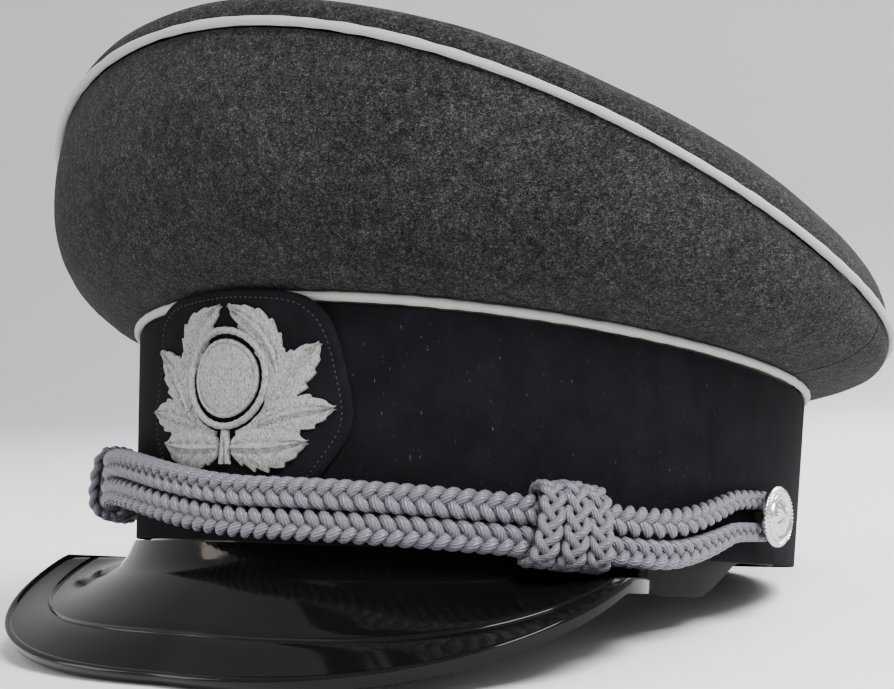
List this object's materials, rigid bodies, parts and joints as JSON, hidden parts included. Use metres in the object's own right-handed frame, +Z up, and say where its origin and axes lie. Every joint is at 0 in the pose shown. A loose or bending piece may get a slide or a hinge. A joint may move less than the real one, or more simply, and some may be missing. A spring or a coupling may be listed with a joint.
{
  "type": "military peaked cap",
  "caption": "Military peaked cap with a grey wool crown, black band, glossy visor, twisted chin cord with two slides, side buttons and a plain wreath badge.",
  "frame": {"origin": "centre of the bounding box, on the table that the visor's tip and the band's rear edge stand on", "axes": "+Z up from the table, -Y the way the cap faces, +X the wearer's left"},
  "size_m": [0.2376, 0.2564, 0.1628],
  "materials": {
    "grey_wool": "felted wool, heathered grey",
    "black_felt": "close black felt cloth",
    "white_thread": "off-white rayon thread",
    "black_lacquer": "high gloss",
    "sweatband_leather": "smooth",
    "lining_satin": "satin",
    "stiffener_fibre": "pressed fibre",
    "interlining_canvas": "coarse hair canvas",
    "wadding": "soft cotton wadding",
    "clear_film": "clear film",
    "spring_steel": "tempered",
    "silver_metal": "pearly silver",
    "brass": "plain",
    "silver_cord": "silver-grey rayon braid"
  },
  "bodies": {
    "cap": {"cap_band": "black_felt", "band_stiffener": "stiffener_fibre", "sweatband": "sweatband_leather", "sweatband_join_tab": "sweatband_leather", "band_piping": "white_thread", "crown_piping": "white_thread", "crown_front_panel": "grey_wool", "crown_rear_left_panel": "grey_wool", "crown_rear_right_panel": "grey_wool", "crown_top_panel": "grey_wool", "crown_wire": "spring_steel", "wire_ferrule": "brass", "rim_wadding": "wadding", "front_interlining": "interlining_canvas", "front_stay": "spring_steel", "lining_side": "lining_satin", "lining_top": "lining_satin", "sweat_shield": "clear_film", "visor": "black_lacquer", "side_button_left": "silver_metal", "button_washer_left": "brass", "button_prongs_left": "brass", "side_button_right": "silver_metal", "button_washer_right": "brass", "button_prongs_right": "brass", "badge_backing": "black_felt", "wreath_left": "white_thread", "wreath_right": "white_thread", "roundel_ring": "white_thread", "roundel_boss": "white_thread"},
    "chin_cord": {"chin_cord_upper": "silver_cord", "chin_cord_lower": "silver_cord"},
    "slide_left": {"chin_slide_left": "silver_cord"},
    "slide_right": {"chin_slide_right": "silver_cord"}
  },
  "joints": [
    {"name": "chin_cord_lift", "type": "hinge", "parent": "cap", "child": "chin_cord", "pos_m": [0, 0.00519, 0.02794], "axis": [-1, 0, 0], "range_deg": [0, 2.5]},
    {"name": "slide_left_travel", "type": "hinge", "parent": "chin_cord", "child": "slide_left", "pos_m": [-0.0149, -0.00373, 0.01834], "axis": [0, 0.2073, 0.9783], "range_deg": [-4, 4]},
    {"name": "slide_right_travel", "type": "hinge", "parent": "chin_cord", "child": "slide_right", "pos_m": [0.0149, -0.00239, 0.02724], "axis": [0, 0.2073, 0.9783], "range_deg": [-4, 4]}
  ]
}
